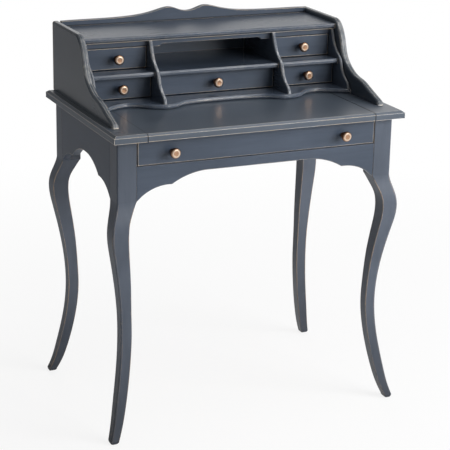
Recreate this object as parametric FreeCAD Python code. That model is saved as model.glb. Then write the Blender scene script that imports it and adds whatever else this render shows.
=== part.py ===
import FreeCAD, Part
import math
import os

os.makedirs("parts", exist_ok=True)
V = FreeCAD.Vector

# Frame: millimetres, Z up from the floor, X across the desk, and -Y towards the person who sits at it.

# Writing top: two side rails, a rear rail and the sliding leaf between them
top_width = 773.0
top_depth = 518.0
writing_height = 784.0
top_thickness = 19.0
top_bevel_height = 5.2
top_bevel_inset = 7.0
side_rail_width = 83.5
rear_rail_depth = 84.0
leaf_seam = 0.6
leaf_travel = 170.0
leaf_groove_depth = 10.0
leaf_groove_height = 6.0
leaf_groove_stop = 40.0
leaf_stop_gap = 1.0

# Base: legs, aprons, and the case of the long drawer
side_overhang = 17.5
front_overhang = 31.0
rear_overhang = 27.1
leg_post = 50.0
leg_swing = 18.0
leg_corner_radius = 4.0
leg_arris_radius = 1.5
sole_rise = 9.0
apron_thickness = 20.0
drawer_opening_height = 67.0
apron_height = 86.0
scallop_cusp_rise = 35.0
front_cusp_inset = 90.0
front_crown_inset = 194.0
front_crown_rise = 62.0
side_cusp_inset = 82.0
side_crown_rise = 71.0
tenon_thickness = 8.0
tenon_length = 22.0
tenon_shoulder = 14.0
corner_block_leg = 28.0
corner_block_drop = 6.0
corner_block_height = 40.0

# Running gear of the long drawer
runner_thickness = 12.0
runner_rise = 7.0
runner_ledge = 20.0
guide_height = 18.0
kicker_thickness = 10.0
kicker_ledge = 25.0

# Long drawer
main_gap = 2.0
main_front_thickness = 18.0
main_side_thickness = 11.0
main_side_drop = 11.0
main_rear_gap = 29.4
main_bottom_thickness = 6.0
main_bottom_rise = 8.0
main_knob_inset = 88.0
main_knob_drop = 3.0

# Small drawers
small_gap = 1.6
small_front_thickness = 14.0
small_side_thickness = 8.0
small_side_drop = 8.0
small_bottom_thickness = 4.0
small_bottom_rise = 5.0
small_rear_gap = 8.0
drawer_edge_radius = 1.2
box_housing = 6.0

# Gallery
gable_inset = 20.5
gable_thickness = 18.0
gable_height = 179.0
gable_top_length = 182.0
gable_length = 446.0
gable_rear_inset = 1.0
gable_edge_radius = 6.0
back_board_thickness = 14.0
back_board_inset = 9.0
crest_end_height = 180.5
crest_swell = 22.3
base_shelf_thickness = 12.0
base_shelf_reach = 284.0
base_shelf_swell = 45.0
inner_panel_thickness = 8.0
divider_thickness = 10.0
side_bay_width = 163.5
upright_reach = 278.0
upright_rake = 104.0
upright_edge_radius = 3.5
lower_bay_height = 56.0
mid_shelf_thickness = 13.0
mid_shelf_reach = 216.0
upper_bay_height = 71.0
shelf_housing = 3.0
shelf_edge_radius = 5.0
upper_shelf_thickness = 15.0
upper_shelf_reach = 178.0
upper_shelf_housing = 6.0
upper_shelf_lip = 10.5
upper_shelf_nose_radius = 4.0
upper_shelf_cove = 7.0
upper_shelf_hollow = 1.0
lower_drawer_reach = 191.0
upper_drawer_reach = 160.0
top_rail_height = 14.0
top_rail_thickness = 11.0
valance_height = 17.5
valance_lift = 6.0
valance_ear = 25.0
valance_cusp = 14.0

# Knobs, screws and dowels
knob_diameter = 26.0
knob_projection = 26.0
knob_neck_diameter = 9.5
knob_collar_diameter = 14.0
knob_collar_length = 3.0
knob_head_length = 12.5
knob_bore_depth = 15.0
screw_diameter = 4.0
screw_head_diameter = 8.0
screw_head_length = 2.6
top_screw_grip = 12.0
top_screw_count = 3
dowel_diameter = 8.0
dowel_depth = 12.0
dowel_count = 3

# Fits
slide_clearance = 0.4
bore_clearance = 0.1
overrun = 5.0

# Shapes of the curved pieces, as shares of the sizes above
# leg: height, outward swing, and width of the square section
leg_shares = [
    (1.000, 0.000, 1.000),
    (0.950, 0.440, 0.870),
    (0.915, 0.800, 0.840),
    (0.870, 0.980, 0.840),
    (0.770, 0.520, 0.770),
    (0.655, -0.200, 0.670),
    (0.530, -0.710, 0.580),
    (0.430, -0.820, 0.570),
    (0.295, -0.470, 0.560),
    (0.140, 0.430, 0.535),
    (0.070, 0.930, 0.490),
]
sole_swing_share = 1.50
sole_width_share = 0.44
sole_outer_share = 0.20
sole_inner_share = 0.45
sole_steps = 7
shaft_steps = 30
# scallop: how far along and how high the middle of each arc lies
scallop_tip_shares = (0.40, 0.73)
scallop_rise_shares = (0.39, 0.69)
# gable front edge: run from the end of the level top to the toe, and height above the writing top
gable_edge_shares = [
    (0.000, 1.000),
    (0.052, 0.980),
    (0.112, 0.916),
    (0.169, 0.800),
    (0.206, 0.665),
    (0.262, 0.486),
    (0.382, 0.346),
    (0.502, 0.277),
    (0.607, 0.249),
    (0.783, 0.162),
    (0.933, 0.084),
    (0.989, 0.040),
    (1.000, 0.000),
]
# crest: place along half the board, and rise above its ends
crest_shares = [
    (0.000, 0.426),
    (0.058, 0.580),
    (0.134, 0.957),
    (0.235, 0.730),
    (0.349, 0.330),
    (0.468, 0.135),
    (0.785, 0.030),
    (1.000, 0.000),
]
# front edge of the uprights: run back from the foot, and height
upright_shares = [
    (0.000, 0.000),
    (0.030, 0.064),
    (0.172, 0.154),
    (0.354, 0.279),
    (0.425, 0.386),
    (0.488, 0.486),
    (0.632, 0.579),
    (0.813, 0.704),
    (0.919, 0.854),
    (1.000, 1.000),
]
# serpentine front of the base shelf: place along half the shelf, and depth of the hollow
base_shelf_shares = [
    (0.000, 0.780),
    (0.120, 0.780),
    (0.250, 0.700),
    (0.340, 0.500),
    (0.410, 0.130),
    (0.475, 0.000),
    (0.545, 0.100),
    (0.610, 0.370),
    (0.660, 0.720),
    (0.735, 0.980),
    (0.830, 0.830),
    (0.910, 0.420),
    (1.000, 0.100),
]
# valance: where the bend of its ear lies, along and up
valance_bend_shares = (0.60, 0.80)
# knob: widest place along the head, and the middle of the arc under it, outward and along
knob_rim_share = 0.42
knob_under_shares = (0.80, 0.32)
screw_fill_share = 0.9
screw_row_share = 0.42
dowel_row_share = 0.30

# Planes that the pieces share
front_y = -top_depth / 2
rear_y = top_depth / 2
half_top = top_width / 2
half_leaf = half_top - side_rail_width
slab_z = writing_height - top_thickness
drawer_opening_bottom = slab_z - drawer_opening_height
leg_curve_top = drawer_opening_bottom - apron_height
leg_x = half_top - side_overhang
leg_front_y = front_y + front_overhang
leg_rear_y = rear_y - rear_overhang
post_inner_x = leg_x - leg_post
front_post_y = leg_front_y + leg_post
rear_post_y = leg_rear_y - leg_post
apron_inner_x = leg_x - apron_thickness
runner_z = drawer_opening_bottom + runner_rise
kicker_z = slab_z - kicker_thickness
gable_x = half_top - gable_inset
gallery_x = gable_x - gable_thickness
gable_rear_y = rear_y - gable_rear_inset
back_y = rear_y - back_board_inset - back_board_thickness
base_shelf_top = writing_height + base_shelf_thickness
mid_shelf_z = base_shelf_top + lower_bay_height
mid_shelf_top = mid_shelf_z + mid_shelf_thickness
upper_shelf_z = mid_shelf_top + upper_bay_height
upper_shelf_top = upper_shelf_z + upper_shelf_thickness
bay_outer_x = gallery_x - inner_panel_thickness
bay_inner_x = bay_outer_x - side_bay_width
centre_bay_x = bay_inner_x - divider_thickness


def block(x0, x1, y0, y1, z0, z1):
    """Box between two corners."""
    return Part.makeBox(x1 - x0, y1 - y0, z1 - z0, V(x0, y0, z0))


def curve(points):
    """Smooth edge through the points."""
    spline = Part.BSplineCurve()
    spline.interpolate(points)
    return spline.toShape()


def line(a, b):
    return Part.makeLine(a, b)


def arc(a, b, c):
    """Circular arc from a to c through b."""
    return Part.Arc(a, b, c).toShape()


def board(edges, direction):
    """Flat board: the closed outline carried along a direction."""
    return Part.Face(Part.Wire(edges)).extrude(direction)


def mirror_x(shape):
    return shape.mirror(V(0, 0, 0), V(1, 0, 0))


def round_edges(shape, radius, chosen):
    """Round those edges of the shape for which chosen(edge) is true."""
    return shape.makeFillet(radius, [edge for edge in shape.Edges if chosen(edge)])


def save(name, *solids):
    shape = solids[0] if len(solids) == 1 else Part.makeCompound(list(solids))
    shape.exportStep("parts/%s.step" % name)


# Legs
def leg_section(z, swing, width):
    """Square with eased corners. The post's outer corner is at the local origin, outward is positive."""
    near = swing - width
    corners = [(swing, swing, leg_corner_radius), (near, swing, leg_arris_radius),
               (near, near, leg_arris_radius), (swing, near, leg_arris_radius)]
    turns = [(0, -1, -1, 0), (1, 0, 0, -1), (0, 1, 1, 0), (-1, 0, 0, 1)]
    ends = []
    for (x, y, r), (ax, ay, bx, by) in zip(corners, turns):
        start = V(x + ax * r, y + ay * r, z)
        finish = V(x + bx * r, y + by * r, z)
        centre = V(x + (ax + bx) * r, y + (ay + by) * r, z)
        out = V(x, y, z) - centre
        middle = centre + out * (r / out.Length)
        ends.append((start, middle, finish))
    edges = []
    for k, (start, middle, finish) in enumerate(ends):
        edges.append(arc(start, middle, finish))
        edges.append(line(finish, ends[(k + 1) % len(ends)][0]))
    return Part.Wire(edges)


def corner_leg():
    """Leg whose post fills the corner at the local origin: straight post, curved shaft, rounded sole.
    A smooth guide curve holds the outward swing as x, the width as y and the height as z."""
    post_face = Part.Face(leg_section(leg_curve_top, 0, leg_post))
    post = post_face.extrude(V(0, 0, slab_z - leg_curve_top))
    sole_swing = sole_swing_share * leg_swing
    sole_width = sole_width_share * leg_post
    marks = [V(s * leg_swing, w * leg_post, h * leg_curve_top) for h, s, w in leg_shares]
    marks.append(V(sole_swing, sole_width, sole_rise))
    guide = Part.BSplineCurve()
    guide.interpolate(marks)
    stations = guide.discretize(shaft_steps)
    shaft = Part.makeLoft([leg_section(mark.z, mark.x, mark.y) for mark in stations], True, False)
    rounds = []
    for k in range(sole_steps + 1):
        turn = math.radians(90) * k / sole_steps
        height = sole_rise * (1 - math.sin(turn))
        outer = sole_outer_share * sole_width * (1 - math.cos(turn))
        inner = sole_inner_share * sole_width * (1 - math.cos(turn))
        rounds.append(leg_section(height, sole_swing - outer, sole_width - outer - inner))
    sole = Part.makeLoft(rounds, True, True)
    return post.fuse([shaft, sole]).removeSplitter()


def place_leg(leg, right, front):
    """Turn the corner leg to face outward at one corner of the desk."""
    shape = leg.copy()
    if not right:
        shape = mirror_x(shape)
    if front:
        shape = shape.mirror(V(0, 0, 0), V(0, 1, 0))
    shape.translate(V(leg_x if right else -leg_x, leg_front_y if front else leg_rear_y, 0))
    return shape


# Aprons
def scallop_outline(place, half_span, cusp_inset, crown_inset, crown_rise, top_z):
    """Closed edges of an apron. place(s, z) puts a point at s along the apron from its middle."""
    tip = leg_curve_top
    cusp = (half_span - cusp_inset, tip + scallop_cusp_rise)
    crown = (half_span - crown_inset, tip + crown_rise)

    def between(a, b, shares):
        return (a[0] + (b[0] - a[0]) * shares[0], a[1] + (b[1] - a[1]) * shares[1])

    end = (half_span, tip)
    tip_middle = between(end, cusp, scallop_tip_shares)
    rise_middle = between(cusp, crown, scallop_rise_shares)
    edges = []
    for side in (1, -1):
        chain = [place(side * s, z) for s, z in (end, tip_middle, cusp, rise_middle, crown)]
        edges.append(arc(chain[0], chain[1], chain[2]))
        edges.append(arc(chain[2], chain[3], chain[4]))
        edges.append(line(place(side * half_span, top_z), chain[0]))
    if crown[0] > 0:
        edges.append(line(place(crown[0], crown[1]), place(-crown[0], crown[1])))
    edges.append(line(place(half_span, top_z), place(-half_span, top_z)))
    return Part.__sortEdges__(edges)


def front_board(y0, y1, top_z):
    """Scalloped board between the left and right legs, with its tenons."""
    edges = scallop_outline(lambda s, z: V(s, y0, z), post_inner_x, front_cusp_inset,
                            front_crown_inset, front_crown_rise, top_z)
    shape = board(edges, V(0, y1 - y0, 0))
    middle = (y0 + y1) / 2
    low = leg_curve_top + scallop_cusp_rise
    tenons = block(-post_inner_x - tenon_length, post_inner_x + tenon_length,
                   middle - tenon_thickness / 2, middle + tenon_thickness / 2,
                   low, top_z - tenon_shoulder)
    waste = block(-post_inner_x + tenon_length, post_inner_x - tenon_length, y0, y1, low, top_z)
    return shape.fuse(tenons.cut(waste)).removeSplitter()


def side_board():
    """Right side apron between the front and rear legs, with its tenons."""
    middle_y = (front_post_y + rear_post_y) / 2
    half_span = (rear_post_y - front_post_y) / 2
    edges = scallop_outline(lambda s, z: V(apron_inner_x, middle_y + s, z), half_span, side_cusp_inset,
                            half_span, side_crown_rise, slab_z)
    shape = board(edges, V(apron_thickness, 0, 0))
    x = (apron_inner_x + leg_x) / 2
    low = leg_curve_top + scallop_cusp_rise
    tenons = block(x - tenon_thickness / 2, x + tenon_thickness / 2,
                   front_post_y - tenon_length, rear_post_y + tenon_length, low, slab_z - tenon_shoulder)
    waste = block(apron_inner_x, leg_x, front_post_y + tenon_length, rear_post_y - tenon_length,
                  low, slab_z)
    return shape.fuse(tenons.cut(waste)).removeSplitter()


front_apron = front_board(leg_front_y, leg_front_y + apron_thickness, drawer_opening_bottom)
back_panel = front_board(leg_rear_y - apron_thickness, leg_rear_y, slab_z)
right_apron = side_board()
left_apron = mirror_x(right_apron)
corner = corner_leg()
legs = {}
for name, right, front in [("front_left_leg", False, True), ("front_right_leg", True, True),
                           ("rear_left_leg", False, False), ("rear_right_leg", True, False)]:
    legs[name] = place_leg(corner, right, front).cut([front_apron, back_panel, right_apron, left_apron])
    save(name, legs[name])
save("front_apron", front_apron)
save("back_panel", back_panel)
save("left_side_apron", left_apron)
save("right_side_apron", right_apron)


def corner_block(y, inward):
    """Triangular glue block in the right-hand corner between a leg and the board at y."""
    top = drawer_opening_bottom - corner_block_drop
    a = V(post_inner_x, y, top)
    b = V(post_inner_x, y + inward * corner_block_leg, top)
    c = V(post_inner_x - corner_block_leg, y, top)
    return board([line(a, b), line(b, c), line(c, a)], V(0, 0, -corner_block_height))


front_block = corner_block(leg_front_y + apron_thickness, 1)
rear_block = corner_block(leg_rear_y - apron_thickness, -1)
save("corner_blocks", front_block, rear_block, mirror_x(front_block), mirror_x(rear_block))

# Runners with guides, and kickers that carry the top
box_x = post_inner_x - main_gap - slide_clearance
runner = block(box_x - runner_ledge, apron_inner_x, front_post_y, rear_post_y,
               runner_z - runner_thickness, runner_z)
guide = block(box_x + slide_clearance, apron_inner_x, front_post_y, rear_post_y,
              runner_z, runner_z + guide_height)
runner = runner.fuse(guide).removeSplitter()
save("drawer_runners", runner, mirror_x(runner))


# Top
def bevelled_top():
    """Whole top as one slab with a bevel round its upper edge."""
    bevel_z = writing_height - top_bevel_height
    slab = block(-half_top, half_top, front_y, rear_y, slab_z, bevel_z)
    x = half_top - top_bevel_inset
    y = rear_y - top_bevel_inset
    lower = Part.makePolygon([V(-half_top, front_y, bevel_z), V(half_top, front_y, bevel_z),
                              V(half_top, rear_y, bevel_z), V(-half_top, rear_y, bevel_z),
                              V(-half_top, front_y, bevel_z)])
    upper = Part.makePolygon([V(-x, -y, writing_height), V(x, -y, writing_height), V(x, y, writing_height),
                              V(-x, y, writing_height), V(-x, -y, writing_height)])
    return slab.fuse(Part.makeLoft([lower, upper], True, True)).removeSplitter()


def groove_slot(half_width, y0, y1, clearance):
    """Bar at the middle of the slab's edge, as wide as the two tongues' tips are apart."""
    middle = slab_z + top_thickness / 2
    half = leaf_groove_height / 2 - clearance
    return block(-half_width, half_width, y0, y1, middle - half, middle + half)


slab = bevelled_top()
rear_rail_y = rear_y - rear_rail_depth
leaf_rear_y = rear_rail_y - leaf_seam
groove_front_y = front_y + leaf_groove_stop
tongue_front_y = groove_front_y + leaf_travel + leaf_stop_gap
groove_rear_y = rear_y - leaf_groove_stop
groove_tip_x = half_leaf + leaf_groove_depth
groove = groove_slot(groove_tip_x, groove_front_y, groove_rear_y, 0)

leaf_x = half_leaf - leaf_seam
leaf_space = block(-leaf_x, leaf_x, front_y - overrun, leaf_rear_y,
                   slab_z + slide_clearance, writing_height - slide_clearance)
leaf_tongues = groove_slot(groove_tip_x - slide_clearance, tongue_front_y, leaf_rear_y, slide_clearance)
leaf_core = block(-leaf_x, leaf_x, tongue_front_y, leaf_rear_y, slab_z, writing_height)
writing_leaf = slab.common(leaf_space).fuse(leaf_tongues.cut(leaf_core)).removeSplitter()
save("writing_leaf", writing_leaf)

rear_rail = slab.common(block(-half_leaf, half_leaf, rear_rail_y, rear_y + overrun, slab_z, writing_height))
rail_tongues = groove_slot(groove_tip_x, rear_rail_y, groove_rear_y, 0)
rear_rail = rear_rail.fuse(rail_tongues).removeSplitter()
save("top_rear_rail", rear_rail)

right_rail = slab.common(block(half_leaf, half_top, front_y, rear_y, slab_z, writing_height)).cut(groove)

# Screws that hold the kickers to the rails, and dowels that pin the gables to the rails
kicker_x = half_leaf - kicker_ledge
kicker = block(kicker_x, apron_inner_x, front_post_y, rear_post_y, kicker_z, slab_z)


def wood_screw(x, y, z, length, clearance):
    """Countersunk screw that points up, its head flush at z."""
    shank = Part.makeCylinder(screw_diameter / 2 + clearance, length, V(x, y, z))
    head = Part.makeCone(screw_head_diameter / 2 + clearance, screw_diameter / 2 + clearance,
                         screw_head_length, V(x, y, z))
    return shank.fuse(head)


def spread(start, end, count):
    """Evenly spaced places from start to end."""
    return [start + (end - start) * k / (count - 1) for k in range(count)]


screw_x = (groove_tip_x + apron_inner_x) / 2
screw_middle = (front_post_y + rear_post_y) / 2
screw_reach = (rear_post_y - front_post_y) * screw_row_share
top_screws = []
for y in spread(screw_middle - screw_reach, screw_middle + screw_reach, top_screw_count):
    hole = wood_screw(screw_x, y, kicker_z, kicker_thickness + top_screw_grip, bore_clearance)
    kicker = kicker.cut(hole)
    right_rail = right_rail.cut(hole)
    top_screws.append(wood_screw(screw_x, y, kicker_z, kicker_thickness + top_screw_grip, 0))
save("kickers", kicker, mirror_x(kicker))
save("top_screws", *(top_screws + [mirror_x(screw) for screw in top_screws]))


# Gallery boards
def is_spline(edge):
    return isinstance(edge.Curve, Part.BSplineCurve)


def gable_board():
    """Right gable: level top, S-curved front edge down to the toe, rounded edges."""
    top_z = writing_height + gable_height
    shoulder_y = gable_rear_y - gable_top_length
    run = gable_length - gable_top_length
    points = [V(gallery_x, shoulder_y - s * run, writing_height + h * gable_height)
              for s, h in gable_edge_shares]
    heel = V(gallery_x, gable_rear_y, writing_height)
    rear_top = V(gallery_x, gable_rear_y, top_z)
    edges = [curve(points), line(points[-1], heel), line(heel, rear_top),
             line(rear_top, points[0])]
    shape = board(edges, V(gable_thickness, 0, 0))

    def along_the_front(edge):
        level_top = edge.BoundBox.ZMin > mid_shelf_z and edge.BoundBox.YLength > gable_thickness
        return is_spline(edge) or level_top

    return round_edges(shape, gable_edge_radius, along_the_front)


def moulded_shelf():
    """Upper shelf: a rounded nose on its front edge, and a hollow cut back under it."""
    x = gallery_x + upper_shelf_housing
    lip_y = back_y - upper_shelf_reach
    lip_z = upper_shelf_top - upper_shelf_lip
    rear_low = V(-x, back_y, upper_shelf_z)
    rear_high = V(-x, back_y, upper_shelf_top)
    lip_high = V(-x, lip_y, upper_shelf_top)
    lip_low = V(-x, lip_y, lip_z)
    front_low = V(-x, lip_y + upper_shelf_cove, upper_shelf_z)
    hollow = (lip_low + front_low) / 2 + V(0, upper_shelf_hollow, upper_shelf_hollow)
    edges = [line(rear_low, rear_high), line(rear_high, lip_high), line(lip_high, lip_low),
             arc(lip_low, hollow, front_low), line(front_low, rear_low)]
    shape = board(edges, V(2 * x, 0, 0))

    def on_the_nose(edge):
        return edge.BoundBox.YMax < lip_y + bore_clearance and edge.BoundBox.XLength > x

    return round_edges(shape, upper_shelf_nose_radius, on_the_nose)


def mirrored_points(shares, place):
    """Points of a curve that is alike left and right. place(s, h) puts the right half's points."""
    right = [place(s, h) for s, h in shares]
    left = [V(-p.x, p.y, p.z) for p in reversed(right[1:])]
    return left + right


def crest_board():
    """Back board whose top edge has two humps with a dip between them."""
    end_z = writing_height + crest_end_height
    points = mirrored_points(crest_shares, lambda s, h: V(s * gallery_x, back_y, end_z + h * crest_swell))
    a = V(gallery_x, back_y, writing_height)
    b = V(-gallery_x, back_y, writing_height)
    edges = [curve(points), line(points[-1], a), line(a, b), line(b, points[0])]
    return board(edges, V(0, back_board_thickness, 0))


def serpentine_shelf():
    """Base shelf that swells forward at each upright, with a rounded front edge."""
    nose_y = back_y - base_shelf_reach
    points = mirrored_points(base_shelf_shares,
                             lambda s, h: V(s * gallery_x, nose_y + h * base_shelf_swell, writing_height))
    a = V(gallery_x, back_y, writing_height)
    b = V(-gallery_x, back_y, writing_height)
    edges = [curve(points), line(points[-1], a), line(a, b), line(b, points[0])]
    shape = board(edges, V(0, 0, base_shelf_thickness))
    return round_edges(shape, shelf_edge_radius, is_spline)


def upright(x, thickness):
    """Divider or inner panel with an S-curved front edge, its left face at x."""
    foot_y = back_y - upright_reach
    height = upper_shelf_z - base_shelf_top
    points = [V(x, foot_y + s * upright_rake, base_shelf_top + h * height) for s, h in upright_shares]
    rear_low = V(x, back_y, base_shelf_top)
    rear_high = V(x, back_y, upper_shelf_z)
    edges = [curve(points), line(points[-1], rear_high), line(rear_high, rear_low),
             line(rear_low, points[0])]
    return round_edges(board(edges, V(thickness, 0, 0)), upright_edge_radius, is_spline)


def mid_shelf(x0, x1):
    """Shelf of one bay, its ends housed in the uprights and its front edge rounded."""
    front = back_y - mid_shelf_reach
    shape = block(x0 - shelf_housing, x1 + shelf_housing, front, back_y, mid_shelf_z, mid_shelf_top)

    def at_the_front(edge):
        return edge.BoundBox.YMax < front + bore_clearance and edge.BoundBox.XLength > mid_shelf_thickness

    return round_edges(shape, shelf_edge_radius, at_the_front)


def valance_board():
    """Rail over the pigeonhole with a deeper ear at each end."""
    y = back_y - upper_drawer_reach
    low = upper_shelf_z - valance_height
    high = low + valance_lift
    ear_x = centre_bay_x - valance_ear
    hollow_x = ear_x - valance_cusp
    edges = [line(V(-hollow_x, y, high), V(hollow_x, y, high)),
             line(V(centre_bay_x, y, upper_shelf_z), V(-centre_bay_x, y, upper_shelf_z))]
    for side in (1, -1):
        ear = V(side * ear_x, y, low)
        hollow = V(side * hollow_x, y, high)
        bend = V(side * (hollow_x + valance_cusp * valance_bend_shares[0]), y,
                 low + valance_lift * valance_bend_shares[1])
        corner_low = V(side * centre_bay_x, y, low)
        edges.append(arc(ear, bend, hollow))
        edges.append(line(ear, corner_low))
        edges.append(line(corner_low, V(side * centre_bay_x, y, upper_shelf_z)))
    return board(Part.__sortEdges__(edges), V(0, top_rail_thickness, 0))


upper_shelf = moulded_shelf()
right_gable = gable_board().cut(upper_shelf)
gable_middle_y = gable_rear_y - gable_length / 2
dowels = []
for y in spread(gable_middle_y - dowel_row_share * gable_length,
                gable_middle_y + dowel_row_share * gable_length, dowel_count):
    place = V(gallery_x + gable_thickness / 2, y, writing_height - dowel_depth)
    hole = Part.makeCylinder(dowel_diameter / 2 + bore_clearance, 2 * dowel_depth, place)
    right_gable = right_gable.cut(hole)
    right_rail = right_rail.cut(hole)
    dowels.append(Part.makeCylinder(dowel_diameter / 2, 2 * dowel_depth, place))
save("gallery_dowels", *(dowels + [mirror_x(dowel) for dowel in dowels]))
save("top_right_rail", right_rail)
save("top_left_rail", mirror_x(right_rail))
save("right_gable", right_gable)
save("left_gable", mirror_x(right_gable))
save("upper_shelf", upper_shelf)
save("back_board", crest_board())
save("base_shelf", serpentine_shelf())

right_shelf = mid_shelf(bay_inner_x, bay_outer_x)
left_shelf = mirror_x(right_shelf)
centre_shelf = mid_shelf(-centre_bay_x, centre_bay_x)
save("right_mid_shelf", right_shelf)
save("left_mid_shelf", left_shelf)
save("centre_mid_shelf", centre_shelf)
right_divider = upright(centre_bay_x, divider_thickness).cut([right_shelf, centre_shelf])
right_panel = upright(bay_outer_x, inner_panel_thickness).cut(right_shelf)
save("right_divider", right_divider)
save("left_divider", mirror_x(right_divider))
save("right_inner_panel", right_panel)
save("left_inner_panel", mirror_x(right_panel))
rail_y = back_y - upper_drawer_reach
top_rail = block(bay_inner_x, bay_outer_x, rail_y, rail_y + top_rail_thickness,
                 upper_shelf_z - top_rail_height, upper_shelf_z)
save("drawer_top_rails", top_rail, mirror_x(top_rail))
save("pigeonhole_valance", valance_board())


# Drawers
def knob(x, y, z):
    """Turned mushroom knob on the face at y: collar, waisted neck, domed head and a bore for its screw."""
    collar = knob_collar_diameter / 2
    neck = knob_neck_diameter / 2
    head = knob_diameter / 2
    head_start = knob_projection - knob_head_length
    rim = head_start + knob_rim_share * knob_head_length

    def at(radius, out):
        return V(x + radius, y - out, z)

    under = at(neck + (head - neck) * knob_under_shares[0],
               head_start + (rim - head_start) * knob_under_shares[1])
    dome_height = knob_projection - rim
    dome_radius = (head ** 2 + dome_height ** 2) / (2 * dome_height)
    half_turn = math.asin(head / dome_radius) / 2
    dome = at(dome_radius * math.sin(half_turn), knob_projection - dome_radius * (1 - math.cos(half_turn)))
    waist = at(neck, (knob_collar_length + head_start) / 2)
    edges = [line(at(0, 0), at(collar, 0)), line(at(collar, 0), at(collar, knob_collar_length / 2)),
             arc(at(collar, knob_collar_length / 2), at((collar + neck) / 2, knob_collar_length), waist),
             line(waist, at(neck, head_start)), arc(at(neck, head_start), under, at(head, rim)),
             arc(at(head, rim), dome, at(0, knob_projection)), line(at(0, knob_projection), at(0, 0))]
    turned = Part.Face(Part.Wire(edges)).revolve(V(x, y, z), V(0, 1, 0), 360)
    return turned.cut(knob_bore(x, y, z, 0))


def knob_bore(x, y, z, depth):
    """Hole for a knob's screw, through a front of that depth and into the knob."""
    return Part.makeCylinder(screw_diameter / 2 + bore_clearance, depth + knob_bore_depth,
                             V(x, y + depth, z), V(0, -1, 0))


def knob_screw(x, y, z, depth):
    """Screw from inside the drawer: head on the back of the front, shank into the knob."""
    back = V(x, y + depth, z)
    reach = depth + knob_bore_depth * screw_fill_share
    shank = Part.makeCylinder(screw_diameter / 2, reach, back, V(0, -1, 0))
    head = Part.makeCylinder(screw_head_diameter / 2, screw_head_length, back, V(0, 1, 0))
    return shank.fuse(head).removeSplitter()


def drawer_front(x0, x1, y, thickness, z0, z1, knob_places):
    """Front board with eased face edges and a hole for each knob."""
    shape = block(x0, x1, y, y + thickness, z0, z1)
    shape = round_edges(shape, drawer_edge_radius, lambda edge: edge.BoundBox.YMax < y + bore_clearance)
    return shape.cut([knob_bore(x, y, z, thickness) for x, z in knob_places])


def drawer_boards(x0, x1, y0, y1, z0, z1, thickness, bottom_z, bottom_thickness):
    """Sides, back and bottom: the bottom sits in grooves in the sides and back."""
    bottom = block(x0 + thickness / 2, x1 - thickness / 2, y0, y1 - thickness / 2, bottom_z,
                   bottom_z + bottom_thickness)
    left = block(x0, x0 + thickness, y0, y1, z0, z1).cut(bottom)
    right = block(x1 - thickness, x1, y0, y1, z0, z1).cut(bottom)
    back = block(x0 + thickness, x1 - thickness, y1 - thickness, y1, z0, z1).cut(bottom)
    return left, right, back, bottom


main_z0 = drawer_opening_bottom + main_gap
main_z1 = slab_z - main_gap
main_x = post_inner_x - main_gap
main_rear_y = leg_rear_y - apron_thickness - main_rear_gap
main_knob_z = (main_z0 + main_z1) / 2 - main_knob_drop
main_knob_x = main_x - main_knob_inset
main_places = [(-main_knob_x, main_knob_z), (main_knob_x, main_knob_z)]
main_left, main_right, main_back, main_bottom = drawer_boards(
    -box_x, box_x, leg_front_y + main_front_thickness - box_housing, main_rear_y,
    runner_z + slide_clearance, main_z1 - main_side_drop, main_side_thickness,
    runner_z + main_bottom_rise, main_bottom_thickness)
main_front = drawer_front(-main_x, main_x, leg_front_y, main_front_thickness, main_z0, main_z1, main_places)
save("main_drawer_front", main_front.cut([main_left, main_right, main_bottom]))
save("main_drawer_sides", main_left, main_right)
save("main_drawer_back", main_back)
save("main_drawer_bottom", main_bottom)
save("main_drawer_knobs", *[knob(x, leg_front_y, z) for x, z in main_places])
main_screws = [knob_screw(x, leg_front_y, z, main_front_thickness) for x, z in main_places]
save("main_drawer_knob_screws", *main_screws)


def small_drawer(name, x0, x1, reach, shelf_z, ceiling_z):
    """One drawer of the gallery, between two uprights and on the shelf at shelf_z."""
    y = back_y - reach
    z0 = shelf_z + small_gap
    z1 = ceiling_z - small_gap
    x = (x0 + x1) / 2
    z = (z0 + z1) / 2
    boards = drawer_boards(x0 + small_gap, x1 - small_gap, y + small_front_thickness - box_housing,
                           back_y - small_rear_gap, shelf_z + slide_clearance, z1 - small_side_drop,
                           small_side_thickness, shelf_z + small_bottom_rise, small_bottom_thickness)
    front = drawer_front(x0 + small_gap, x1 - small_gap, y, small_front_thickness, z0, z1, [(x, z)])
    save(name + "_front", front.cut(list(boards)))
    save(name + "_box", *boards)
    save(name + "_knob", knob(x, y, z))
    save(name + "_knob_screw", knob_screw(x, y, z, small_front_thickness))


upper_ceiling = upper_shelf_z - top_rail_height
for name, x0, x1, reach, shelf_z, ceiling_z in [
        ("upper_left_drawer", -bay_outer_x, -bay_inner_x, upper_drawer_reach, mid_shelf_top, upper_ceiling),
        ("lower_left_drawer", -bay_outer_x, -bay_inner_x, lower_drawer_reach, base_shelf_top, mid_shelf_z),
        ("centre_drawer", -centre_bay_x, centre_bay_x, lower_drawer_reach, base_shelf_top, mid_shelf_z),
        ("lower_right_drawer", bay_inner_x, bay_outer_x, lower_drawer_reach, base_shelf_top, mid_shelf_z),
        ("upper_right_drawer", bay_inner_x, bay_outer_x, upper_drawer_reach, mid_shelf_top, upper_ceiling)]:
    small_drawer(name, x0, x1, reach, shelf_z, ceiling_z)

print("desk %g wide, %g deep, %g high" % (top_width, top_depth,
                                          writing_height + crest_end_height + crest_swell))
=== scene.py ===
# %% [markdown]
# A painted writing desk, dressed for its portrait.
#
# The construction is already there: every board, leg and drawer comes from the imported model, at its real
# size and in its real place. This lesson gives those pieces what a drawing lacks: softened edges, paint
# that is rubbed through along them, turned copper knobs, bare wood inside the drawers, and a quiet white
# studio.

# %% Load the desk as a fixed frame
import math

import bpy
import numpy as np
from mathutils import Matrix, Vector


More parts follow.
